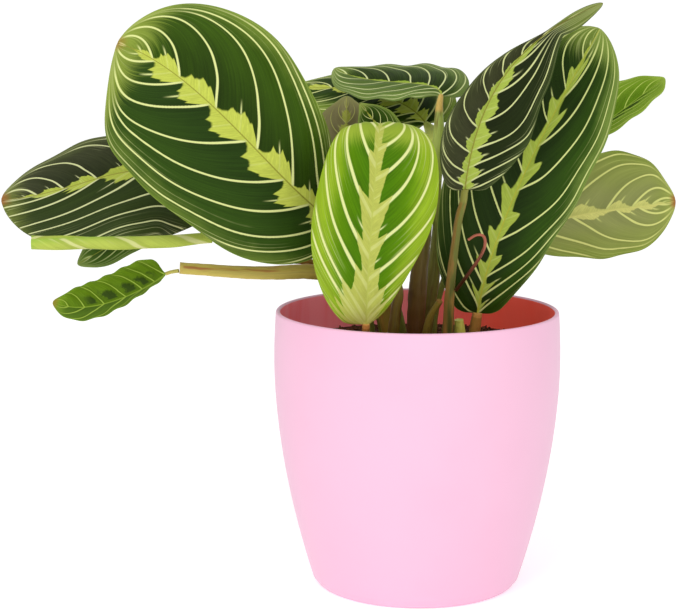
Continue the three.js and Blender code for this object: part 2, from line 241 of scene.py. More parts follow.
for label, points in lobeShapes.items():
    lobe = n.add("ShaderNodeFloatCurve", {"Value": shifted})
    mapping = lobe.socket.node.mapping
    lobePoints = mapping.curves[0].points
    lobePoints[0].location = points[0]
    lobePoints[-1].location = points[-1]
    for place in points[1:-1]:
        lobePoints.new(*place).handle_type = "AUTO" if label == "tooth" else "VECTOR"
    mapping.update()
    lobes.append(lobe)
ragged = 1.0 - given["Toothed"] - given["Stepped"]
lobe = lobes[0] * ragged + lobes[1] * given["Toothed"] + lobes[2] * given["Stepped"]
lobe = lobe * (0.8 + lobeRandom * 0.35 + (jag - 0.5) * 0.36)
lobe = lobe * (1.0 - given["Even"]) + given["Even"] * 0.72
toEnd = share / given["Feather End"]
narrowing = (1.0 - toEnd ** 1.6 * given["Taper"]) * n.unfade(toEnd, 0.9, 1.0)
narrowing = narrowing * (1.0 - onLeft * (1.0 - given["Left Reach"]))
paleBase = given["Pale Base"] * n.unfade(share, 0.0, 0.17) * (0.4 + lobe * 0.6)
reach = lobe * given["Feather Reach"] * narrowing + paleBase
featherMask = n.unfade(outward, reach - 0.012, reach + 0.012) * n.fade(given["Feather Reach"], 0.0, 0.02)
feathered = n.fade(given["Feather Reach"], 0.1, 0.2)
lobeLine = n.bell((shifted - 0.42) * apart, 0.35)
spine = lobeLine * n.calc("GREATER_THAN", lobeRandom, 0.35)
spine = spine * n.unfade(outward, reach + 0.02, reach + 0.13) * feathered

toVein = abs(n.calc("FRACT", index + 0.5) - 0.5) * apart
veinHalf = given["Vein Width"] * (1.0 - outward * 0.5) * (1.0 - share * 0.3)
veinMask = n.unfade(toVein, veinHalf * 0.45, veinHalf + 0.1)
roomForVeins = 1.0 - n.unfade(apart, 0.8, 3.4) * 0.8
veinMask = veinMask * n.unfade(outward, 0.93, 1.0) * n.fade(count, -0.5, -0.4) * roomForVeins
veinMask = n.calc("MAXIMUM", veinMask, spine * (1.0 - featherMask))
ribHalf = (1.0 - share) * 0.3 + 0.12
ribMask = n.unfade(across, ribHalf * 0.6, ribHalf + 0.15)

# Blade between the veins: dark beside the midrib, lighter and striped towards the margin and the tip.
cloud = n.noise(given["Position"], 45.0, 3.0, 0.6)
toEdge = n.calc("MAXIMUM", outward, share ** 5.0 * 0.95) + (cloud - 0.5) * 0.35
body = n.mix(n.fade(toEdge, 0.1, 0.75), given["Near Rib"], given["Middle"])
edgePlace = toEdge + given["Edge Width"] + (share - 0.5) * given["Edge Rise"]
body = n.mix(n.fade(edgePlace, 0.72, 1.1) * 0.8, body, given["Edge"])
# Painted light and shade: the left half is tinted darker where it lies in shade, and lighter on the top leaf,
# whose left half faces the lamps.
body = n.mix(onLeft * given["Left Painted Shading"], body, given["Left Shading Color"])
streak = veinNoise(22.0, 2.2, 2.0, 0.6)
middleOfStep = step * (1.0 - step) * 4.0
lightness = 1.0 + (streak - 0.5) * given["Streaks"] * 4.0 + (middleOfStep - 0.6) * 0.22
body = n.stretch(body, lightness)
toTip = share + (streak - 0.5) * 0.16 - given["Glow Start"]
glow = n.fade(toTip, 0.0, 0.1) * given["Tip Glow"]
body = n.mix(glow, body, n.mix(0.3, given["Edge"], given["Feather"]))
stripe = n.fade(veinNoise(9.0, 1.2, 1.0, layer=3.0), 0.56, 0.72) * n.fade(edgePlace, 0.6, 0.95) * 0.45
body = n.mix(stripe, body, given["Vein"])
frayed = (n.noise(given["Position"], 420.0, 2.0, 0.7) - 0.5) * 0.65
blotch = n.fade(step + frayed, 0.15, 0.3) * n.unfade(step + frayed, 0.6, 0.85)
blotch = blotch * n.fade(outward, 0.05, 0.12) * n.unfade(outward + frayed * 0.5, 0.34, 0.5)
blotch = blotch * given["Blotch"] * (1.0 - onLeft * 0.8)
blotch = blotch * n.fade(share, 0.06, 0.16) * n.unfade(share, 0.68, 0.82)
body = n.mix(blotch, body, colour(38, 56, 14))

grain = veinNoise(30.0, 8.0, 2.0, 0.7)
dim, bright = [n.stretch(given["Feather"], amount) for amount in (0.84, 1.06)]
feather = n.mix(n.fade(grain, 0.35, 0.75), dim, bright)
feather = n.mix(lobeLine * feathered * 0.22, feather, given["Vein"])
skin = n.mix(featherMask, body, feather)
skin = n.mix(veinMask * (0.92 - featherMask * 0.62), skin, given["Vein"])
skin = n.mix(ribMask * 0.75, skin, given["Midrib"])
skin = n.mix(n.unfade((1.0 - outward) * half, 0.15, 0.5) * 0.6, skin, given["Edge"])
dryTip = n.fade(share + cloud * 0.03, 0.985, 1.02) * n.unfade(across, 1.5, 5.0)
skin = n.mix(dryTip * given["Tip Brown"], skin, colour(150, 92, 48))
mottle = n.noise(given["Position"], 900.0, 2.0, 0.6)
n.feed(result["Color"], skin)
n.feed(result["Roughness"], 0.4 + cloud * 0.18 + featherMask * 0.04)
n.feed(result["Height"], veinMask * -0.5 + mottle * 0.4 + streak * 0.35)

# Skin of a stalk. Along holds the share of its length, Facing the way its skin faces.
stalkSkin, n, given, result = newGroup("stalkSkin", "ShaderNodeTree", {
    "Along": "Vector", "Facing": "Vector", "Low": "Color", "High": "Color", "Joint": "Color",
    "Patch And Lit Side": "Color", "Joint Length": 0.08, "Left Painted Light": 0.0, "Seed": 0.0}, skinResults)
share = given["Along"]
sideX, sideY, sideZ = n.split(given["Facing"])
lengthwise = n.join(sideX * 4.0, (sideY + sideZ) * 4.0, share * 3.0 + given["Seed"])
fibres = n.noise(lengthwise, 1.0, 3.0, 0.6)
patches = n.noise(n.join(sideX, sideY + sideZ, share * 6.0 + given["Seed"]), 1.0, 2.0)
skin = n.mix(n.fade(share + (patches - 0.5) * 0.5, 0.1, 0.85), given["Low"], given["High"])
skin = n.mix(n.fade(patches, 0.5, 0.72) * 0.8, skin, given["Patch And Lit Side"])
# Painted light: on slim stalks the left side, which faces the key lamp, turns to the patch colour.
skin = n.mix(n.unfade(sideX, -0.75, 0.0) * given["Left Painted Light"], skin, given["Patch And Lit Side"])
jointMask = n.fade(share, 1.0 - given["Joint Length"] * 1.3, 1.0 - given["Joint Length"])
skin = n.mix(jointMask, skin, given["Joint"])
n.feed(result["Color"], n.stretch(skin, 0.7 + fibres * 0.6))
n.feed(result["Roughness"], 0.34 + fibres * 0.2)
n.feed(result["Height"], fibres)


# A material whose colour, roughness and bump come from one of the groups.
def groupMaterial(name, group, attributes, values, bump=0.1, specular=0.5, glow=0.0):
    material = bpy.data.materials.new(name)
    material.use_nodes = True
    m = Nodes(material.node_tree)
    skinColour = m.add("ShaderNodeGroup", node_tree=group)
    node = skinColour.socket.node
    for socket, attribute in attributes.items():
        m.feed(node.inputs[socket], m.add("ShaderNodeAttribute", out="Vector", attribute_name=attribute))
    if "Position" in node.inputs:
        m.feed(node.inputs["Position"], m.add("ShaderNodeTexCoord", out="Object"))
    for socket, value in values.items():
        node.inputs[socket].default_value = value
    roughness, height = [Value(m, node.outputs[label]) for label in ("Roughness", "Height")]
    bumps = m.add("ShaderNodeBump", {"Height": height, "Strength": bump, "Distance": 0.0004})
    shader = {"Base Color": skinColour, "Roughness": roughness, "Normal": bumps,
              "Specular IOR Level": specular, "Emission Color": skinColour, "Emission Strength": glow}
    for socket, value in shader.items():
        m.feed(material.node_tree.nodes["Principled BSDF"].inputs[socket], value)
    return material


# Colours of the leaf kinds: next to the midrib, mid blade, towards the edge, veins, feather, midrib.
leafColours = {
    "dark": [(34, 54, 6), (50, 76, 10), (124, 146, 56), (216, 222, 146), (186, 196, 80), (126, 122, 40)],
    "deep": [(26, 44, 6), (42, 68, 12), (112, 134, 58), (208, 216, 136), (162, 180, 70), (172, 170, 54)],
    # This kind is greyer than the leaf's own bronze green: partly painted sheen of the white sky on the upper
    # half.
    "bronze": [(40, 46, 24), (56, 60, 38), (88, 98, 52), (214, 218, 160), (180, 192, 80), (134, 124, 54)],
    "brown": [(26, 34, 10), (30, 40, 13), (66, 80, 38), (206, 212, 146), (162, 180, 74), (130, 116, 48)],
    "lime": [(62, 104, 0), (86, 126, 2), (138, 164, 36), (216, 220, 150), (176, 182, 84), (170, 178, 82)],
    "mid": [(36, 52, 12), (58, 78, 28), (108, 128, 62), (214, 222, 156), (150, 176, 64), (160, 170, 70)],
    "tucked": [(54, 78, 24), (74, 104, 36), (112, 140, 62), (200, 214, 140), (150, 176, 64), (160, 170, 70)],
    "pale": [(156, 174, 66), (166, 180, 78), (140, 176, 62), (202, 206, 136), (186, 196, 104),
             (186, 196, 104)],
    "bright": [(78, 106, 12), (88, 118, 16), (112, 144, 30), (150, 174, 66), (146, 176, 52), (134, 160, 50)],
    "fresh": [(92, 126, 18), (108, 138, 32), (140, 166, 60), (176, 196, 92), (156, 184, 64), (150, 174, 66)],
    "under": [(132, 138, 80), (128, 138, 68), (118, 136, 50), (206, 210, 124), (200, 200, 114),
              (196, 194, 110)],
    "taupe": [(104, 98, 66), (126, 120, 84), (134, 132, 90), (160, 160, 94), (148, 154, 66), (150, 150, 76)],
}


def shades(labels, colours):
    return {label: colour(*c) for label, c in zip(labels, colours)}


def leafMaterial(name, kind, look, seed, under=False):
    values = shades(("Near Rib", "Middle", "Edge", "Vein", "Feather", "Midrib"), leafColours[kind])
    values.update(look, Seed=seed * 7.3)
    if under:
        values["Streaks"] = 0.1
    places = {"Rib Place": "ribPlace", "Vein Place": "veinPlace"}
    return groupMaterial(name, leafMarkings, places, values, bump=0.25, specular=0.06)


# Each leaf as in the solids, in millimetres and degrees, with what its markings and the painted
# light and shade on its left half look like.
# veins: share of the length at which each side vein leaves the midrib, left then right.
# reach: share of the half width where a vein ends that leaves at 0, 0.3, 0.6 and 0.9.
# run: how soon it gets there. level: 1 where veins keep their distance from the midrib while the
# blade narrows, so that reach is a share of the level width. grid: how many rows there are from
# base to tip, and points from the midrib to a margin. What a leaf leaves out is usual.
usualLeaf = {
    "fold": [6, 6], "curl": [-20, -20], "under": "under", "level": [0, 0],
    "veins": [[-0.1, 0.02, 0.14, 0.28, 0.44, 0.6, 0.76]] * 2, "reach": [[1.05, 0.9, 0.8, 0.6]] * 2,
    "run": [0.17, 0.17],
}
leaves = {
    "leaf_upper_left": {
        "rib": [[-40, -22, 184], [-64, -52, 200], [-98, -66, 256], [-137.5, -52, 269]],
        "left": [50, 47, 40, 72], "right": [25, 28, 54, 45],
        "face": [[-0.1, -1, 0.25], [-0.15, -1, 0.3]], "curl": [-10, -16],
        "wave": [0.8, 3, 0.6], "kind": "dark", "grid": [170, 46],
        "veins": [[-0.2, -0.085, 0.015, 0.16, 0.3, 0.48, 0.645, 0.753, 0.87],
                  [-0.1, 0, 0.09, 0.26, 0.435, 0.62, 0.775, 0.88]],
        "reach": [[0.99, 0.77, 0.75, 0.5], [1.03, 0.93, 0.98, 0.98]], "run": [0.18, 0.2],
        "look": {"Feather Reach": 0.27, "Vein Width": 0.88, "Edge Width": 0.0, "Tip Brown": 0.6,
                 "Glow Start": 0.87, "Tip Glow": 0.66, "Left Painted Shading": 0.4, "Left Shading Color": colour(32, 56, 20)},
    },
    "leaf_far_left": {
        "rib": [[-102, 34, 190], [-141, 24, 220], [-157, 12, 196], [-203, 6, 192]],
        "left": [50, 43, 30, 50], "right": [28, 22, 24, 24],
        "face": [[-0.1, -0.75, 0.65], [-0.3, -0.8, 0.5]], "fold": [10, 14],
        "wave": [0.7, 3, 2], "kind": "bronze", "under": "taupe", "grid": [200, 52],
        "veins": [[-0.37, -0.24, -0.1, 0.06, 0.33, 0.59, 0.75, 0.88],
                  [-0.03, 0.16, 0.356, 0.608, 0.774, 0.887]],
        "reach": [[0.48, 0.4, 0.25, 0.06], [0.97, 0.93, 0.93, 0.9]], "run": [0.232, 0.105],
        "level": [1, 0],
        "look": {"Feather Reach": 0.2, "Vein Width": 0.76, "Tip Brown": 1.0, "Tip Glow": 0.6,
                 "Glow Start": 0.91, "Left Painted Shading": 0.75, "Left Shading Color": colour(44, 60, 20)},
    },
    "leaf_front": {
        "rib": [[-26, -50, 139], [-25, -74, 196], [-16.5, -70, 270.5], [-21, -28, 212]],
        "left": [39, 33, 9, 17], "right": [15, 50, 18, 8],
        "face": [[0, -1, 0.2], [0, -1, 0.5], [0, 0.6, 1]], "curl": [-25, -25],
        "wave": [0.6, 3, 1], "kind": "lime", "grid": [150, 38],
        "veins": [[-0.053, 0.003, 0.104, 0.188, 0.302, 0.465],
                  [-0.01, 0.052, 0.127, 0.21, 0.307, 0.417, 0.53]],
        "reach": [[1.51, 1.2, 1.05, 0.4], [1.45, 0.79, 0.75, 0.4]], "run": [0.304, 0.114],
        "look": {"Feather Reach": 0.33, "Feather End": 0.8, "Taper": 0.8, "Vein Width": 1.15, "Stepped": 1.0,
                 "Pale Base": 1.1, "Edge Width": 0.24, "Glow Start": 0.52, "Tip Glow": 0.75},
    },
    "leaf_upper_right": {
        "rib": [[20.5, -36, 201], [24, -42, 236], [37, -28, 268], [86, -4, 287]],
        "left": [26, 28, -9, 6], "right": [28, 38, 14, 10],
        "face": [[0.3, -1, 0.1], [0.34, -0.96, 0.14], [0.38, -0.92, 0.18], [0.22, -0.78, 0.32],
                 [-0.4, -0.35, 0.8], [0.1, -0.95, 0.3]], "fold": [30, 6], "curl": [-30, -15],
        "wave": [0.5, 3, 0], "kind": "brown", "under": "bright", "grid": [140, 34],
        "veins": [[-0.05, 0.016, 0.079, 0.168, 0.285, 0.42, 0.542, 0.66],
                  [-0.05, 0.025, 0.1, 0.18, 0.31, 0.45, 0.59, 0.75]],
        "reach": [[1.02, 1, 1, 0.5], [1.25, 0.6, 0.35, 0.2]], "run": [0.04, 0.12],
        "look": {"Feather Reach": 0.33, "Vein Width": 0.6, "Toothed": 0.15, "Even": 0.3,
                 "Left Reach": 1.1, "Feather End": 0.86, "Taper": 0.75, "Pale Base": 0.2,
                 "Left Painted Shading": 0.45, "Left Shading Color": colour(70, 70, 46), "Glow Start": 0.78,
                 "Tip Glow": 0.9},
    },
    "leaf_tall_right": {
        "rib": [[29, -12, 138], [35, -22, 185], [64, -15, 235], [88, 11, 273.5]],
        "left": [31, 40, 33, 34], "right": [27, 29, 29, 36],
        "face": [[0.1, -1, 0.15], [0.1, -1, 0.3]], "fold": [10, 6],
        "wave": [0.8, 4, 1.5], "kind": "deep", "grid": [170, 38],
        "veins": [[-0.118, 0.018, 0.105, 0.207, 0.321, 0.479, 0.657, 0.776],
                  [-0.014, 0.055, 0.13, 0.252, 0.423, 0.576, 0.742]],
        "reach": [[1, 0.86, 0.93, 0.93], [1.1, 0.8, 0.38, 0.1]], "run": [0.158, 0.125],
        "look": {"Feather Reach": 0.26, "Vein Width": 0.64, "Toothed": 0.95, "Edge Width": 0.02,
                 "Edge Rise": 0.4, "Left Painted Shading": 0.5, "Left Shading Color": colour(28, 42, 10),
                 "Glow Start": 0.87, "Tip Glow": 0.5},
    },
    "leaf_low_left": {
        "rib": [[-123, -16, 158], [-133, -20, 150], [-158, -27, 139], [-173.5, -30, 145.5]],
        "left": [2.5, 0, 7, 10.5], "right": [23, 12.5, 12.6, 14.7],
        "face": [[-0.1, -0.8, 0.6], [-0.1, -0.8, 0.6]], "fold": [-10, 20], "curl": [-30, -25],
        "wave": [0.5, 6, 0], "kind": "bright", "under": "taupe", "grid": [100, 26],
        "veins": [[-0.16, 0, 0.14, 0.27, 0.42, 0.6, 0.76, 0.9]] * 2,
        "reach": [[1.6] * 4] * 2, "run": [0.3, 0.2],
        "look": {"Feather Reach": 0.0, "Vein Width": 0.36, "Blotch": 0.85, "Tip Brown": 0.5,
                 "Left Painted Shading": 0.5, "Left Shading Color": colour(56, 80, 28)},
    },
    "leaf_tucked_left": {
        "rib": [[-108, 44, 183], [-131, 40, 177], [-151, 36, 169], [-170.5, 34, 157]],
        "left": [5, 5, 12, 14], "right": [9, 12, 17, 13],
        "face": [[0, -0.8, 0.6], [0, -0.8, 0.6]], "fold": [10, 10],
        "wave": [0.5, 3, 1], "kind": "tucked", "under": "taupe", "grid": [100, 26],
        "look": {"Feather Reach": 0.0, "Vein Width": 0.6},
    },
    "leaf_top": {
        "rib": [[11, 2, 243], [13, 10, 253], [-22, 34, 245], [-39, 50, 254]],
        "left": [14, 22, 20, 20], "right": [25, 25, 24, 22],
        "face": [[0, -0.4, 0.95], [0, -0.4, 0.95]], "fold": [4, 12],
        "wave": [0.7, 4, 0.5], "kind": "mid", "under": "bright", "grid": [120, 32],
        "look": {"Feather Reach": 0.07, "Vein Width": 0.55, "Left Painted Shading": 0.6, "Edge Width": 0.22,
                 "Streaks": 0.5, "Left Shading Color": colour(96, 120, 50)},
    },
    "leaf_back": {
        "rib": [[5, 28, 228], [-4, 36, 242], [-33, 60, 247], [-65, 80, 243]],
        "left": [28, 32, 28, 22], "right": [44, 32, 28, 22],
        "face": [[0.2, -0.35, 0.95], [0, -0.25, 0.95]], "fold": [-20, 20], "curl": [-30, -20],
        "wave": [0.7, 3, 0], "kind": "dark", "under": "bright", "grid": [120, 32],
        "look": {"Feather Reach": 0.3, "Vein Width": 0.6, "Edge Width": 0.35},
    },
    "leaf_far_right": {
        "rib": [[52, 30, 173], [90, 36, 186], [110, 40, 183], [132.3, 44, 187]],
        "left": [26, 26, 25, 30], "right": [29, 33, 28, 33],
        "face": [[0, 1, 0.3], [0, 1, 0.1]], "curl": [-10, -10],
        "wave": [0.8, 3, 2], "kind": "dark", "grid": [130, 34],
        "veins": [[-0.28, -0.144, 0.036, 0.28, 0.57, 0.738], [-0.25, -0.06, 0.197, 0.498, 0.69, 0.85]],
        "reach": [[0.95, 0.91, 0.74, 0.4], [0.99, 0.99, 1, 0.5]], "run": [0.24, 0.29],
        "look": {"Feather Reach": 0.18, "Vein Width": 0.95, "Toothed": 0.3, "Tip Brown": 1.0},
    },
    "leaf_back_right": {
        "rib": [[88, 50, 219], [102, 56, 229], [117, 62, 239], [129, 66, 248]],
        "left": [15, 19, 17, 14], "right": [15, 15, 8, 17],
        "face": [[0, -0.5, 0.8], [0, -0.5, 0.8]], "fold": [20, 30],
        "wave": [0.7, 3, 1], "kind": "fresh", "grid": [100, 26],
        "veins": [[-0.6, -0.44, -0.28, -0.12, 0.06, 0.26, 0.5, 0.75]] * 2,
        "reach": [[1.0, 0.95, 0.9, 0.8]] * 2, "run": [0.5, 0.5],
        "look": {"Feather Reach": 0.0, "Vein Width": 0.4, "Blotch": 0.9},
    },
    "leaf_back_left": {
        "rib": [[-36, 16, 191], [-36, 16, 208], [-35, 16, 226], [-35, 16, 240]],
        "left": [16, 20, 20, 16], "right": [16, 20, 20, 16],
        "face": [[0, 1, 0.3], [0, 1, 0.3]], "curl": [-10, -10],
        "wave": [0.4, 3, 0], "kind": "dark", "under": "taupe", "grid": [90, 24],
        "look": {"Feather Reach": 0.3, "Vein Width": 0.4},
    },
    "leaf_narrow_back": {
        "rib": [[-7, -6, 210], [-14, -6, 221], [-21, -6, 231], [-27, -6, 238]],
        "left": [9, 11, 11, 9], "right": [9, 11, 11, 9],
        "face": [[0, -0.9, 0.4], [0, -0.9, 0.4]], "curl": [-10, -10],
        "wave": [0.3, 3, 0], "kind": "dark", "grid": [80, 18],
        "look": {"Feather Reach": 0.12, "Vein Width": 0.22},
    },
}

# The young leaf that is still rolled up: the line it is rolled around, its radius and its turns.
leaves["leaf_furled"] = {
    "path": [[-100, -22, 176], [-104, -23, 176], [-129, -28, 175], [-157, -32, 175.5], [-184.6, -34, 176]],
    "radii": [2.5, 3.2, 3.3, 3.4, 3.6, 3.8], "turns": 1.35, "pitch": 0.95, "twist": 0.3, "start": 0.125,
    "rib": [[-100, -22, 176], [-128, -28, 175], [-156, -32, 175.5], [-185, -34, 176]],
    "kind": "pale", "under": "pale", "grid": [120, 60],
    "veins": [[-0.9, -0.6, -0.3, 0.0, 0.3, 0.6, 0.9]] * 2,
    "reach": [[3.0] * 4] * 2, "run": [0.6, 0.6],
    "look": {"Feather Reach": 0.0, "Vein Width": 1.9, "Streaks": 0.12, "Tip Glow": 0.0},
}

leaves = {name: {**usualLeaf, **leaf} for name, leaf in leaves.items()}
bladeSizes = {"lobeLength": 4, "lobeStart": 3, "lobeSpread": 8, "tipLength": 2.5, "thickness": 0.7,
              "quilt": 0.45, "ribGroove": 0.35, "ribRidge": 0.7, "marginSway": 0.6, "levelWidth": 48,
              "nearRib": 0.004, "sidesApart": 1.3, "rippleRise": 2.2, "tipRise": 50, "lobeRise": 7}
veinSearch = {"below": 4, "halvings": 34, "before": 12, "after": 6}


# Distance along a chain of points, as a share of its length.
def lengthShares(chain):
    lengths = np.concatenate([[0], np.cumsum(np.linalg.norm(np.diff(chain, axis=0), axis=1))])
    return lengths / lengths[-1]


# A smooth curve through points, as a fine chain of points.
def smoothPath(points, steps=12):
    points = np.array(points, float)
    ends = [2 * points[0] - points[1], *points, 2 * points[-1] - points[-2]]
    chain = []
    for a, b, c, d in zip(ends, ends[1:], ends[2:], ends[3:]):
        first, second, third = [np.linalg.norm(q - p) ** 0.5 for p, q in ((a, b), (b, c), (c, d))]
        leave = ((b - a) / first - (c - a) / (first + second) + (c - b) / second) * second
        arrive = ((c - b) / second - (d - b) / (second + third) + (d - c) / third) * second
        x = (np.arange(steps) / steps)[:, None]
        chain.append(b + leave * x + (3 * (c - b) - 2 * leave - arrive) * x ** 2
                     + (2 * (b - c) + leave + arrive) * x ** 3)
    return np.concatenate([*chain, points[-1:]])


def bezier(points, u):
    w = 1 - u
    weights = np.stack([w ** 3, 3 * w * w * u, 3 * w * u * u, u ** 3], axis=-1)
    return weights @ np.array(points, float)


def unit(vectors):
    return vectors / np.maximum(np.linalg.norm(vectors, axis=-1, keepdims=True), 1e-12)


def halfWidth(sizes, u):
    return bezier(np.array(sizes, float)[:, None], u)[..., 0] * np.sqrt(np.maximum(4 * u * (1 - u), 0))


# The middle surface of a blade, with u from base to tip and v from left to right margin.
def bladeSurface(leaf, u, v):
    step = 0.0005
    ends = np.clip(u - step, 0, 1), np.clip(u + step, 0, 1)
    tangent = unit(bezier(leaf["rib"], ends[1]) - bezier(leaf["rib"], ends[0]))
    faces = unit(np.array(leaf["face"], float))
    place = np.clip(u, 0, 1) * (len(faces) - 1)
    first = np.minimum(place.astype(int), len(faces) - 2)
    part = (place - first)[..., None]
    up = faces[first] * (1 - part) + faces[first + 1] * part
    up = unit(up - tangent * np.sum(up * tangent, axis=-1, keepdims=True))
    sideways = np.cross(tangent, up)
    share = np.abs(v)
    right = v > 0
    height, waves, start = leaf["wave"]
    phase = 2 * np.pi * waves * u + start + np.where(v < 0, bladeSizes["sidesApart"], 0)
    swing = height * np.sqrt(np.maximum(np.sin(np.pi * u), 0))
    width = np.where(right, halfWidth(leaf["right"], u), halfWidth(leaf["left"], u))
    width = width + bladeSizes["marginSway"] * swing * np.cos(phase)
    fold = np.radians(np.where(right, leaf["fold"][1], leaf["fold"][0]))
    curl = np.radians(np.where(right, leaf["curl"][1], leaf["curl"][0]))
    across = (np.sin(fold + curl * share) - np.sin(fold)) / curl * width
    ripple = swing * np.sin(phase) * share ** bladeSizes["rippleRise"]
    rise = (np.cos(fold) - np.cos(fold + curl * share)) / curl * width + ripple
    grown = np.clip((width - bladeSizes["lobeStart"]) / bladeSizes["lobeSpread"], 0, 1)
    ahead = bladeSizes["tipLength"] * u ** bladeSizes["tipRise"]
    ahead = ahead - bladeSizes["lobeLength"] * share ** 2 * (1 - u) ** bladeSizes["lobeRise"] * grown
    offsets = tangent * ahead[..., None] + sideways * (np.sign(v) * across)[..., None] + up * rise[..., None]
    return bezier(leaf["rib"], u) + offsets, width


# The surface of the rolled leaf: a spiral of a few turns that swings slowly about its line.
def rolledSurface(leaf, u, v):
    chain = smoothPath(leaf["path"])
    places = lengthShares(chain)
    slopes = unit(np.gradient(chain, places, axis=0))
    centre, tangent = [np.stack([np.interp(u, places, line[:, i]) for i in range(3)], axis=-1)
                       for line in (chain, slopes)]
    sideways = unit(np.cross(tangent, [0, 0, 1]))
    up = np.cross(sideways, tangent)
    outer = np.interp(u, np.linspace(0, 1, len(leaf["radii"])), leaf["radii"])
    wound = leaf["turns"] * (1 - v) / 2
    angle = 2 * np.pi * (leaf["start"] + wound + leaf["twist"] * u)
    radius = (outer - bladeSizes["thickness"] / 2) * (1 - leaf["pitch"] * wound / leaf["radii"][3])
    offsets = sideways * (radius * np.cos(angle))[..., None] + up * (radius * np.sin(angle))[..., None]
    return centre + offsets, np.pi * leaf["turns"] * outer


# The vein count at each point: whole numbers lie on the side veins. The place where the vein
# through a point leaves the midrib is found by halving.
def veinCount(leaf, u, v):
    outward = np.abs(v)
    counts = []
    for side, margin in enumerate(("left", "right")):
        starts, reach, run, level = [leaf[key][side] for key in ("veins", "reach", "run", "level")]
        shrink = halfWidth(leaf[margin], u) / bladeSizes["levelWidth"] if level else 1
        low, high = u - veinSearch["below"], u
        ends = [reach[0] + veinSearch["below"], *reach]
        for _ in range(veinSearch["halvings"]):
            guess = (low + high) / 2
            end = np.interp(guess, [-veinSearch["below"], 0, 0.3, 0.6, 0.9], ends)
            beyond = end * (1 - np.exp((guess - u) / run)) > outward * shrink
            low = np.where(beyond, guess, low)
            high = np.where(beyond, high, guess)
        before, after = veinSearch["before"], veinSearch["after"]
        first = starts[0] - (starts[1] - starts[0]) * before
        last = starts[-1] + (starts[-1] - starts[-2]) * after
        numbers = [-before, *range(len(starts)), len(starts) - 1 + after]
        counts.append(np.interp(low, [first, *starts, last], numbers))
    return np.where(v < 0, counts[0], counts[1])


# The blade as a sheet whose points carry what the trees and the markings read.
def bladeSheet(name, leaf):
    rows, columns = leaf["grid"]
    u = (1 - np.cos(np.pi * np.arange(1, rows) / rows)) / 2
    nearRib = bladeSizes["nearRib"]
    rightShares = nearRib + (1 - nearRib) * np.linspace(0, 1, columns) ** 1.1
    v = np.concatenate([-rightShares[::-1], rightShares])
    grid = np.meshgrid(u, v, indexing="ij")
    surface = rolledSurface if "turns" in leaf else bladeSurface
    points, width = surface(leaf, *grid)
    lengthwise, crosswise = [np.gradient(points, shares, axis=i) for i, shares in enumerate((u, v))]
    facing = unit(np.cross(crosswise, lengthwise))

    # The count jumps at the midrib, so the slopes beside it come from the next points.
    count = veinCount(leaf, *grid)
    slopeU, slopeV = [np.gradient(count, shares, axis=i) for i, shares in enumerate((u, v))]
    slopeV[:, columns - 1] = slopeV[:, columns - 2]
    slopeV[:, columns] = slopeV[:, columns + 1]
    e = np.sum(lengthwise ** 2, axis=-1)
    f = np.sum(lengthwise * crosswise, axis=-1)
    g = np.sum(crosswise ** 2, axis=-1)
    steepness = g * slopeU ** 2 - 2 * f * slopeU * slopeV + e * slopeV ** 2
    steepness = steepness / np.maximum(e * g - f * f, 1e-6)
    apart = np.clip(1 / np.sqrt(np.maximum(steepness, 1e-6)), 0.3, 30)
    ribPlace = np.stack([grid[1], width, 0 * width], axis=-1).reshape(-1, 3)
    veinPlace = np.stack([count, apart, grid[0]], axis=-1).reshape(-1, 3)

    # Squares between the rows, and fans of triangles that close the base and the tip.
    wide = len(v)
    corner = np.arange((len(u) - 1) * wide).reshape(-1, wide)[:, :-1].ravel()
    faces = np.stack([corner, corner + 1, corner + wide + 1, corner + wide], axis=-1).tolist()
    base = len(u) * wide
    last = base - wide
    faces += [[base, c + 1, c] for c in range(wide - 1)]
    faces += [[base + 1, last + c, last + c + 1] for c in range(wide - 1)]
    endPoints = surface(leaf, np.array([0.0, 1.0]), np.array([1e-9, 1e-9]))[0]
    endFacing = [unit(row.mean(0)) for row in (facing[0], facing[-1])]
    points = np.concatenate([points.reshape(-1, 3), endPoints]) * mm
    carried = {
        "facing": np.concatenate([facing.reshape(-1, 3), endFacing]),
        "ribPlace": np.concatenate([ribPlace, [[0, 0.01, 0]] * 2]),
        "veinPlace": np.concatenate([veinPlace, [veinPlace[0], veinPlace[-1]]]),
    }
    mesh = bpy.data.meshes.new(name)
    mesh.from_pydata(points.tolist(), [], faces)
    for label, values in carried.items():
        attribute = mesh.attributes.new(label, "FLOAT_VECTOR", "POINT")
        attribute.data.foreach_set("vector", np.ascontiguousarray(values, np.float32).ravel())
    return mesh


# Geometry Nodes: turns a sheet into a quilted blade with a grooved midrib, a ridge below and thin edges.
bladeTree, n, given, result = newGroup("leafBlade", "GeometryNodeTree", {
    "Geometry": "Geometry", "Thickness": 0.7, "Quilt": 0.4, "Rib Groove": 0.3, "Rib Ridge": 0.6,
    "Upper Material": "Material", "Underside Material": "Material",
}, shapeResults)
side, half, _ = n.split(n.read("ribPlace"))
count, apart, share = n.split(n.read("veinPlace"))
facing = n.read("facing")
outward = abs(side)
across = outward * half
swell = 0.5 - n.calc("COSINE", count * (2 * math.pi)) * 0.5
roomy = n.fade(apart, 1.0, 6.0) * n.fade(across, 0.5, 5.0) * n.unfade(outward, 0.86, 1.0)
quilt = swell * roomy * given["Quilt"]
wide = n.fade(half, 2.0, 7.0)
groove = n.bell(across, 1.2) * given["Rib Groove"] * wide
ridge = n.bell(across, 0.8) * given["Rib Ridge"] * wide * (1.0 - share * 0.5)
thick = given["Thickness"] * (1.0 - n.fade(outward, 0.8, 1.0) * 0.55)
sheet = n.move(given["Geometry"], n.stretch(facing, (quilt - groove - thick * 0.5) * mm))
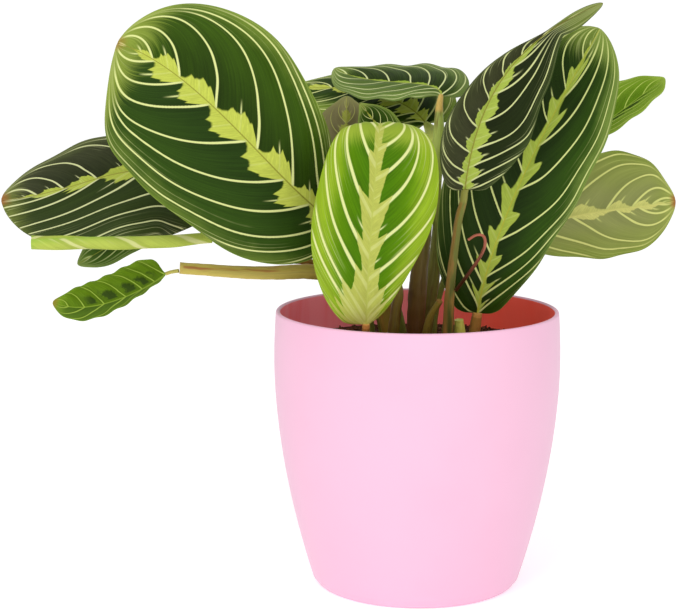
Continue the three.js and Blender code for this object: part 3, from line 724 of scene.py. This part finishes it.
raised = n.add("GeometryNodeExtrudeMesh", {"Mesh": sheet, "Offset Scale": 1e-7, "Individual": False})
raisedTop = Value(n, raised.socket.node.outputs["Top"])
upper = n.move(raised, n.stretch(facing, thick * mm), raisedTop)
lower = n.move(n.add("GeometryNodeFlipFaces", {"Mesh": sheet}), n.stretch(facing, ridge * -mm))
lower = n.store(lower, "isUnderside", True, "BOOLEAN", "FACE")
closed = n.add("GeometryNodeJoinGeometry", {0: lower})
n.feed(closed.socket.node.inputs[0], upper)
closed = n.add("GeometryNodeMergeByDistance", {"Geometry": closed, "Distance": 1e-6})
closed = n.add("GeometryNodeSetShadeSmooth", {"Geometry": closed})
sharp = n.calc("GREATER_THAN", n.add("GeometryNodeInputMeshEdgeAngle"), math.radians(50))
creases = {"Geometry": closed, "Selection": sharp, "Shade Smooth": False}
closed = n.add("GeometryNodeSetShadeSmooth", creases, domain="EDGE")
closed = n.paint(closed, given["Upper Material"])
closed = n.paint(closed, given["Underside Material"], n.read("isUnderside", "BOOLEAN"))
n.feed(result["Geometry"], closed)


# Runs a Geometry Nodes tree on a mesh and returns the result as an object with a plain mesh.
def grow(name, mesh, tree, values):
    piece = addObject(name, mesh)
    modifier = piece.modifiers.new("grow", "NODES")
    modifier.node_group = tree
    for item in tree.interface.items_tree:
        if item.in_out == "INPUT" and item.name in values:
            modifier[item.identifier] = values[item.name]
    bpy.context.view_layer.update()
    evaluated = piece.evaluated_get(bpy.context.evaluated_depsgraph_get())
    finished = bpy.data.meshes.new_from_object(evaluated)
    piece.modifiers.remove(modifier)
    piece.data = finished
    finished.name = name
    return piece


# Hides the solids that a piece stands for and puts the piece on the root body.
def stand(piece, slot, *nodes):
    if nodes:
        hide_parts(*nodes)
    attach(piece, "root")


slots = {sub["node"]: sub["material_slot"] for sub in frame["record"]["subparts"]}

for seed, (name, leaf) in enumerate(leaves.items(), 1):
    upperLook = leafMaterial(name + "_upper", leaf["kind"], leaf["look"], seed)
    underLook = leafMaterial(name + "_underside", leaf["under"], leaf["look"], seed, under=True)
    blade = grow(name + "_blade", bladeSheet(name, leaf), bladeTree, {
        "Thickness": bladeSizes["thickness"], "Quilt": bladeSizes["quilt"],
        "Rib Groove": bladeSizes["ribGroove"], "Rib Ridge": bladeSizes["ribRidge"],
        "Upper Material": upperLook, "Underside Material": underLook})
    stand(blade, slots[name], name)
print("leaves grown:", len(leaves))

# Geometry Nodes: a stalk along a chain of points that carry its radius, with faint lengthwise ribs.
ribsAround = 6
stalkTree, n, given, result = newGroup("stalk", "GeometryNodeTree", {
    "Geometry": "Geometry", "Spacing": 1.2, "Sides": "Int", "Unevenness": 0.1, "Ribs": 0.03,
    "Material": "Material",
}, shapeResults)
line = n.add("GeometryNodeMeshToCurve", {"Mesh": given["Geometry"]})
spacing = given["Spacing"] * mm
line = n.add("GeometryNodeResampleCurve", {"Curve": line, "Length": spacing}, mode="LENGTH")
along = n.add("GeometryNodeSplineParameter")
line = n.store(line, "along", n.join(along, along, along))
circle = {"Resolution": given["Sides"], "Radius": 1.0}
ring = n.add("GeometryNodeCurvePrimitiveCircle", circle, mode="RADIUS")
ring = n.store(ring, "ringShare", n.add("GeometryNodeSplineParameter"), "FLOAT")
girth = n.read("girth", "FLOAT")
tube = n.add("GeometryNodeCurveToMesh", {
    "Curve": line, "Profile Curve": ring, "Scale": girth * mm, "Fill Caps": True})
lump = (n.noise(n.add("GeometryNodeInputPosition"), 220.0, 2.0) - 0.5) * given["Unevenness"] * 2.0
turned = n.read("ringShare", "FLOAT") * (2 * math.pi * ribsAround)
swelling = girth * (lump + n.calc("SINE", turned) * given["Ribs"]) * mm
tube = n.move(tube, n.stretch(n.add("GeometryNodeInputNormal"), swelling))
tube = n.store(tube, "stalkFacing", n.add("GeometryNodeInputNormal"))
tube = n.add("GeometryNodeSetShadeSmooth", {"Geometry": tube})
n.feed(result["Geometry"], n.paint(tube, given["Material"]))


def pathMesh(name, chain, radii):
    girths = np.interp(lengthShares(chain), np.linspace(0, 1, len(radii)), radii)
    mesh = bpy.data.meshes.new(name)
    mesh.from_pydata((chain * mm).tolist(), [(i, i + 1) for i in range(len(chain) - 1)], [])
    mesh.attributes.new("girth", "FLOAT", "POINT").data.foreach_set("value", girths.astype(np.float32))
    return mesh


# Colours of stalks: low on the stalk, high on it, at the joint below the blade, on its dark patches
# and, on slim stalks, as painted light on the left side that faces the key lamp.
stalkColours = {
    "slim": [(72, 76, 30), (112, 116, 48), (132, 132, 58), (152, 112, 54)],
    "olive": [(92, 78, 22), (140, 124, 50), (154, 118, 58), (80, 52, 16)],
    "top": [(110, 98, 42), (164, 180, 88), (200, 168, 88), (96, 58, 26)],
    "brown": [(92, 62, 26), (112, 112, 44), (196, 204, 106), (70, 46, 18)],
    "green": [(120, 126, 50), (150, 154, 74), (170, 134, 62), (110, 90, 38)],
    "shoot": [(136, 116, 44), (186, 170, 82), (186, 166, 84), (158, 92, 52)],
    "orange": [(118, 96, 36), (160, 118, 56), (196, 144, 76), (130, 84, 38)],
    "yellow": [(176, 170, 84), (184, 176, 86), (184, 176, 86), (160, 140, 64)],
    "pale": [(160, 162, 66), (188, 190, 86), (196, 198, 94), (150, 144, 58)],
    "grey": [(108, 100, 66), (136, 128, 86), (136, 128, 86), (88, 70, 42)],
    "dried": [(66, 34, 14), (166, 94, 72), (166, 98, 76), (60, 30, 14)],
}


def stalkMaterial(name, kind, seed, joint):
    values = shades(("Low", "High", "Joint", "Patch And Lit Side"), stalkColours[kind])
    values["Joint Length"] = joint
    values["Seed"] = seed * 3.7
    # Slim stalks get painted light on their left side.
    values["Left Painted Light"] = 0.7 if kind == "slim" else 0.0
    places = {"Along": "along", "Facing": "stalkFacing"}
    return groupMaterial(name, stalkSkin, places, values, bump=0.3, specular=0.2)


# Each stalk and shoot in millimetres, as in the solids. A stalk named for a leaf lines up with its
# midrib before the blade and ends just inside it.
soilTop = 119
footDepth = 9
lineUp = 6
overlap = 0.5
stalks = {
    "stalk_leaf_upper_left": {
        "foot": [-13, -18], "via": [[-11, -18, 141], [-10, -18, 151], [-20, -15, 168]],
        "radii": [3, 2.8, 2.2, 1.7, 1.5], "kind": "olive"},
    "stalk_leaf_far_left": {
        "foot": [-6, 20], "via": [[-14, 24, 145], [-45, 32, 165], [-80, 36, 178]],
        "radii": [2.4, 1.8, 1.5, 1.3, 1.3], "kind": "green"},
    "stalk_leaf_front": {"foot": [-25, -44], "via": [], "radii": [2.2, 2, 1.7], "kind": "orange"},
    "stalk_leaf_upper_right": {
        "foot": [14, -23], "via": [[14.2, -25, 140], [14.7, -27, 154], [16, -30, 169], [18.2, -34, 188]],
        "radii": [2.6, 2.6, 2.6, 2.3, 2, 1.9, 1.8], "kind": "slim"},
    "stalk_leaf_tall_right": {"foot": [27, -9], "via": [], "radii": [3, 2.9, 2.4], "kind": "orange"},
    "stalk_leaf_tucked_left": {
        "foot": [-16, 26], "via": [[-26, 32, 146], [-60, 42, 168], [-88, 45, 182]],
        "radii": [2, 1.7, 1.5, 1.3, 1.2], "kind": "green"},
    "stalk_leaf_top": {
        "foot": [3.2, 3],
        "via": [[6, 2, 143], [8.3, 0, 160], [9.2, -2.5, 176], [9.5, -5, 191], [9.2, -5, 208], [9.8, -4, 224]],
        "radii": [3.8, 4.1, 4.2, 3.7, 2.8, 2, 2, 3.2, 2.5, 1.2], "kind": "top"},
    "stalk_leaf_back": {
        "foot": [-1, -7],
        "via": [[-0.5, -8, 143], [0.8, -9, 160], [3, -8.5, 176], [6, 1, 195], [7.5, 12, 212]],
        "radii": [4.3, 4.3, 4.4, 4.4, 4.5, 4.2, 3.8, 3.3, 2.8, 2.5, 2.2, 2.7, 5.6, 5, 1.4],
        "kind": "brown", "joint": 0.2},
    "stalk_leaf_far_right": {
        "foot": [15, 14], "via": [[17, 16, 135], [28, 24, 158]], "radii": [2.4, 2, 1.6, 1.4],
        "kind": "green"},
    "stalk_leaf_back_right": {
        "foot": [9, 24], "via": [[12, 28, 140], [30, 38, 175], [60, 46, 205]],
        "radii": [2.2, 1.8, 1.5, 1.3, 1.2], "kind": "green"},
    "stalk_leaf_back_left": {
        "foot": [-22, 20], "via": [[-26, 20, 145], [-35, 18, 168]], "radii": [2, 1.7, 1.4, 1.2],
        "kind": "green"},
    "stalk_leaf_narrow_back": {
        "foot": [-1, 11], "via": [[-1, 11, 150], [-3, 8, 180], [-4, 0, 198]], "radii": [2, 1.8, 1.4, 1.2],
        "kind": "green"},
    "left_shoot": {
        "foot": [-12, 4],
        "via": [[-20, 2, 146], [-33, -4, 155], [-51, -8, 158], [-79, -12, 158], [-116, -16, 161]],
        "radii": [4.2, 4.2, 4.2, 4, 3.5, 3.1, 2.9], "kind": "shoot"},
    "side_branch": {
        "foot": [3, -14], "via": [[5, -17, 135], [9.9, -23.6, 146]], "radii": [2, 1.9, 1.8, 1.5],
        "kind": "olive"},
    "shoot_right": {"foot": [21, -17], "via": [[19.5, -19, 136]], "radii": [3.4, 3.4, 2.2], "kind": "pale"},
    "shoot_front_left": {
        "foot": [-32, -43], "via": [[-33, -43.5, 134]], "radii": [1.8, 1.7, 0.5], "kind": "grey"},
    "shoot_front_right": {
        "foot": [-17, -43], "via": [[-16, -43.5, 134]], "radii": [2, 1.9, 0.5], "kind": "grey"},
    "stalk_leaf_low_left": {
        "via": [[-116.6, -16.1, 159.6], [-118.6, -15.8, 159.3], [-120.6, -15.8, 158.9],
                [-122.9, -15.95, 158.1]],
        "radii": [1, 0.9, 0.9], "kind": "yellow"},
    "stalk_leaf_furled": {
        "foot": [-14, 14],
        "via": [[-18, 13, 138], [-30, 11, 152], [-48, 6, 160], [-76, -8, 165], [-94, -20.5, 175.4],
                [-99.6, -21.9, 176]],
        "radii": [2, 1.9, 1.7, 1.5, 1.4, 1.3], "kind": "orange"},
    "dried_tendril": {
        "via": [[17.4, -28.4, 152], [22.3, -34, 160], [28, -40, 170], [30, -42, 176], [29, -43, 180],
                [26, -43, 180.5], [22, -42, 178]],
        "radii": [0.9, 0.9, 0.8, 0.7, 0.6], "kind": "dried"},
}

for seed, (name, stalk) in enumerate(stalks.items(), 1):
    path = list(stalk["via"])
    if "foot" in stalk:
        x, y = stalk["foot"]
        path = [[x, y, soilTop - footDepth], [x, y, soilTop + 1], *path]
    leaf = leaves.get(name.removeprefix("stalk_"))
    if leaf and "foot" in stalk and "turns" not in leaf:
        start, after = bezier(leaf["rib"], np.array([0.0, 0.001]))
        tangent = unit(after - start)
        path += [start - tangent * lineUp, start + tangent * overlap]
    joint = stalk.get("joint", 0.06 if leaf else 0.01)
    look = stalkMaterial(name + "_skin", stalk["kind"], seed, joint)
    piece = grow(name + "_stem", pathMesh(name, smoothPath(path), stalk["radii"]), stalkTree, {
        "Spacing": 1.2, "Sides": 18, "Unevenness": 0.1, "Ribs": 0.03, "Material": look})
    stand(piece, slots[name], name)
print("stalks grown:", len(stalks))

# Pot in millimetres, as in the solids: radii of its widest ring, rim and foot, and the height of
# that ring. The foot curves up in an arc of footRound from footInset inside its radius.
pot = {"height": 138, "radius": 71, "widest": 112, "rim": 70, "foot": 51, "taper": 1.8, "wall": 2.2,
       "wallStart": 3.2, "floor": 3.0, "floorInset": 4, "footRound": 2.2, "footInset": 2.6,
       "footArc": 1.2, "rows": 60, "sides": 192}


# Outer radius of the pot at a height.
def potRadius(z):
    if z > pot["widest"]:
        share = (z - pot["widest"]) / (pot["height"] - pot["widest"])
        return pot["radius"] - (pot["radius"] - pot["rim"]) * share ** 2
    share = (pot["widest"] - z) / pot["widest"]
    return pot["radius"] - (pot["radius"] - pot["foot"]) * share ** pot["taper"]


# Cosine and sine of evenly spaced directions around the axis.
def directions(sides):
    return [(math.cos(a), math.sin(a)) for a in np.arange(sides) * 2 * math.pi / sides]


# Moulded plastic: faint clouds in the colour and a very fine grain. On the inner wall, upright
# streaks are painted reflections and the redder right side is painted shade.
mouldedPlastic, n, given, result = newGroup("mouldedPlastic", "ShaderNodeTree", {
    "Position": "Vector", "Main": "Color", "Second": "Color", "Inner Shade Red": "Color", "Inner Shade Red Share": 0.0,
    "Streaks": 0.0, "Gloss": 0.35,
}, skinResults)
x, y, z = n.split(given["Position"])
cloud = n.noise(given["Position"], 14.0, 3.0, 0.55)
# Upright streaks, used only on the inner wall, are painted reflections.
reflectionStreaks = n.noise(n.join(x * 60.0, y * 60.0, z * 5.0), 1.0, 3.0, 0.6)
share = n.fade(cloud, 0.35, 0.75) * 0.5 + n.fade(reflectionStreaks, 0.45, 0.7) * given["Streaks"]
tint = n.mix(share, given["Main"], given["Second"])
# Painted shade: the right of the inner wall turns a deeper brick red.
rightRedShade = n.fade(x, -0.02, 0.045) * given["Inner Shade Red Share"]
n.feed(result["Color"], n.mix(rightRedShade, tint, given["Inner Shade Red"]))
fine = n.noise(given["Position"], 1800.0, 2.0, 0.6)
n.feed(result["Roughness"], given["Gloss"] + fine * 0.1)
n.feed(result["Height"], fine)

potOutside = groupMaterial("potOutside", mouldedPlastic, {}, {
    "Main": colour(235, 184, 209), "Second": colour(231, 177, 203), "Gloss": 0.36}, bump=0.03)
# The inner wall is the same plastic as the outside, painted in deeper reds for the shade inside the pot, with
# a faint glow: painted light in place of light through the thin wall.
potInside = groupMaterial("potInside", mouldedPlastic, {}, {
    "Main": colour(255, 146, 156), "Second": colour(244, 104, 112), "Inner Shade Red": colour(255, 90, 66),
    "Inner Shade Red Share": 0.9, "Gloss": 0.4, "Streaks": 0.7}, bump=0.03, specular=0.3, glow=0.11)

lip = pot["wall"] / 2
lipHeight = pot["height"] - lip
lipCentre = potRadius(lipHeight) - lip
heights = np.linspace(pot["wallStart"], lipHeight, pot["rows"])
outside = [(potRadius(z), z) for z in heights]
rim = [(lipCentre + lip * math.cos(a), lipHeight + lip * math.sin(a))
       for a in np.linspace(0, math.pi, 11)[1:-1]]
inside = [(potRadius(z) - pot["wall"], z) for z in reversed(heights)]
footCentre = pot["foot"] - pot["footInset"]
foot = [(footCentre + pot["footRound"] * math.sin(a), pot["footRound"] - pot["footRound"] * math.cos(a))
        for a in np.linspace(0, pot["footArc"], 7)]
profile = [*foot, *outside, *rim, *inside, (pot["foot"] - pot["floorInset"], pot["floor"])]
sides = pot["sides"]
around = directions(sides)
points = [(r * c * mm, r * s * mm, z * mm) for r, z in profile for c, s in around]
faces = []
for row in range(len(profile) - 1):
    for i in range(sides):
        a, b = row * sides + i, row * sides + (i + 1) % sides
        faces.append((a, b, b + sides, a + sides))
underFace = len(faces)
faces.append(tuple(reversed(range(sides))))
faces.append(tuple(range((len(profile) - 1) * sides, len(profile) * sides)))
potMesh = bpy.data.meshes.new("cover_pot_shell")
potMesh.from_pydata(points, [], faces)
potMesh.materials.append(potOutside)
potMesh.materials.append(potInside)
firstInside = (len(foot) + len(outside) + len(rim) - 1) * sides
for polygon in potMesh.polygons:
    polygon.use_smooth = len(polygon.vertices) == 4
    polygon.material_index = int(polygon.index >= firstInside and polygon.index != underFace)
stand(addObject("cover_pot_shell", potMesh), slots["cover_pot"], "cover_pot")
print("pot turned")

# Potting mix: dark, crumbly, with pale fibres here and there.
pottingMix, n, given, result = newGroup("pottingMix", "ShaderNodeTree", {
    "Position": "Vector", "Dark": "Color", "Light": "Color"}, skinResults)
coarse = n.noise(given["Position"], 300.0, 4.0, 0.7)
fine = n.noise(given["Position"], 1500.0, 3.0, 0.7)
paleShare = n.fade(coarse * 0.6 + fine * 0.4, 0.4, 0.7)
n.feed(result["Color"], n.mix(paleShare, given["Dark"], given["Light"]))
n.feed(result["Roughness"], 0.8 + fine * 0.2)
n.feed(result["Height"], coarse + fine * 0.5)
soilLook = groupMaterial("pottingMixLook", pottingMix, {}, {
    "Dark": colour(48, 30, 22), "Light": colour(114, 74, 52)}, bump=0.8, specular=0.2)
crumbLook = groupMaterial("crumbLook", pottingMix, {}, {
    "Dark": colour(58, 36, 26), "Light": colour(146, 98, 68)}, bump=0.6, specular=0.2)
for materialSlot in frame["nodes"]["potting_mix"].material_slots:
    materialSlot.material = soilLook

# Geometry Nodes: crumbs of many sizes, strewn over a disc.
crumbTree, n, given, result = newGroup("crumbs", "GeometryNodeTree", {
    "Geometry": "Geometry", "Density": 90000.0, "Smallest": 0.5, "Largest": 1.9, "Seed": "Int",
    "Material": "Material",
}, shapeResults)
crumbShape = {"lowest": 0.7, "flattened": 0.6, "shake": 1.6, "shakeScale": 700.0}
scatter = n.add("GeometryNodeDistributePointsOnFaces", {
    "Mesh": given["Geometry"], "Density": given["Density"], "Seed": given["Seed"]})
crumb = n.add("GeometryNodeMeshIcoSphere", {"Radius": mm, "Subdivisions": 1})
turn = {0: (0, 0, 0), 1: (6.28, 6.28, 6.28), 8: 11}
spin = n.add("FunctionNodeRandomValue", turn, data_type="FLOAT_VECTOR")
low = n.join(given["Smallest"], given["Smallest"], given["Smallest"] * crumbShape["lowest"])
high = n.join(given["Largest"], given["Largest"], given["Largest"] * crumbShape["flattened"])
sizes = n.add("FunctionNodeRandomValue", {0: low, 1: high, 8: 12}, data_type="FLOAT_VECTOR")
crumbs = n.add("GeometryNodeInstanceOnPoints", {
    "Points": scatter, "Instance": crumb, "Rotation": spin, "Scale": sizes})
crumbs = n.add("GeometryNodeRealizeInstances", {"Geometry": crumbs})
bumps = {"Vector": n.add("GeometryNodeInputPosition"), "Scale": crumbShape["shakeScale"]}
shake = n.add("ShaderNodeTexNoise", bumps, out="Color")
shake = n.add("ShaderNodeVectorMath", {0: shake, 1: (0.5, 0.5, 0.5)}, operation="SUBTRACT")
crumbs = n.move(crumbs, n.stretch(shake, crumbShape["shake"] * mm))
n.feed(result["Geometry"], n.paint(crumbs, given["Material"]))

crumbDisc = {"radius": 66.0, "height": soilTop + 0.3, "sides": 64}
disc = bpy.data.meshes.new("disc")
discPoints = [(crumbDisc["radius"] * c * mm, crumbDisc["radius"] * s * mm, crumbDisc["height"] * mm)
              for c, s in directions(crumbDisc["sides"])]
disc.from_pydata(discPoints, [], [tuple(range(crumbDisc["sides"]))])
crumbs = grow("potting_mix_crumbs", disc, crumbTree, {
    "Density": 90000.0, "Smallest": 0.5, "Largest": 1.9, "Seed": 3, "Material": crumbLook})
stand(crumbs, slots["potting_mix"])
print("potting mix strewn")

# Floor, sky and lamps: a white room with broad soft light. The sky is brighter where it is seen.
room = {"reach": 6, "sky": 0.72, "seenSky": 0.33}
floorShader = {"Base Color": (0.93, 0.93, 0.93, 1), "Roughness": 0.9, "Emission Color": (1, 1, 1, 1),
               "Emission Strength": 0.35}
floorMesh = bpy.data.meshes.new("floor")
floorMesh.from_pydata([(room["reach"] * x, room["reach"] * y, 0)
                       for x, y in ((-1, -1), (1, -1), (1, 1), (-1, 1))], [], [(0, 1, 2, 3)])
floor = addObject("floor", floorMesh)
floorLook = bpy.data.materials.new("floorLook")
floorLook.use_nodes = True
for socket, value in floorShader.items():
    floorLook.node_tree.nodes["Principled BSDF"].inputs[socket].default_value = value
floorMesh.materials.append(floorLook)
floor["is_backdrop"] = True

sky = bpy.data.worlds.new("room")
sky.use_nodes = True
n = Nodes(sky.node_tree)
background = sky.node_tree.nodes["Background"].inputs
background["Color"].default_value = (1, 1, 1, 1)
n.feed(background["Strength"], n.add("ShaderNodeLightPath") * room["seenSky"] + room["sky"])
bpy.context.scene.world = sky

# place, aimed at, size in metres, watts
lamps = {
    "key": [(-0.65, -1.2, 1.5), (-0.02, 0, 0.18), 1.0, 11],
    "front": [(0.3, -1.7, 0.6), (0, 0, 0.15), 1.0, 5],
}
for name, (place, target, size, watts) in lamps.items():
    lampData = bpy.data.lights.new(name, "AREA")
    lampData.size = size
    lampData.energy = watts
    lamp = addObject(name, lampData)
    lamp.location = place
    lamp.rotation_euler = (Vector(target) - Vector(place)).to_track_quat("-Z", "Y").to_euler()
print("room lit")

sizes = {"cad": [list(corner) for corner in cadBox], "visual": [list(corner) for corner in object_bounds()]}
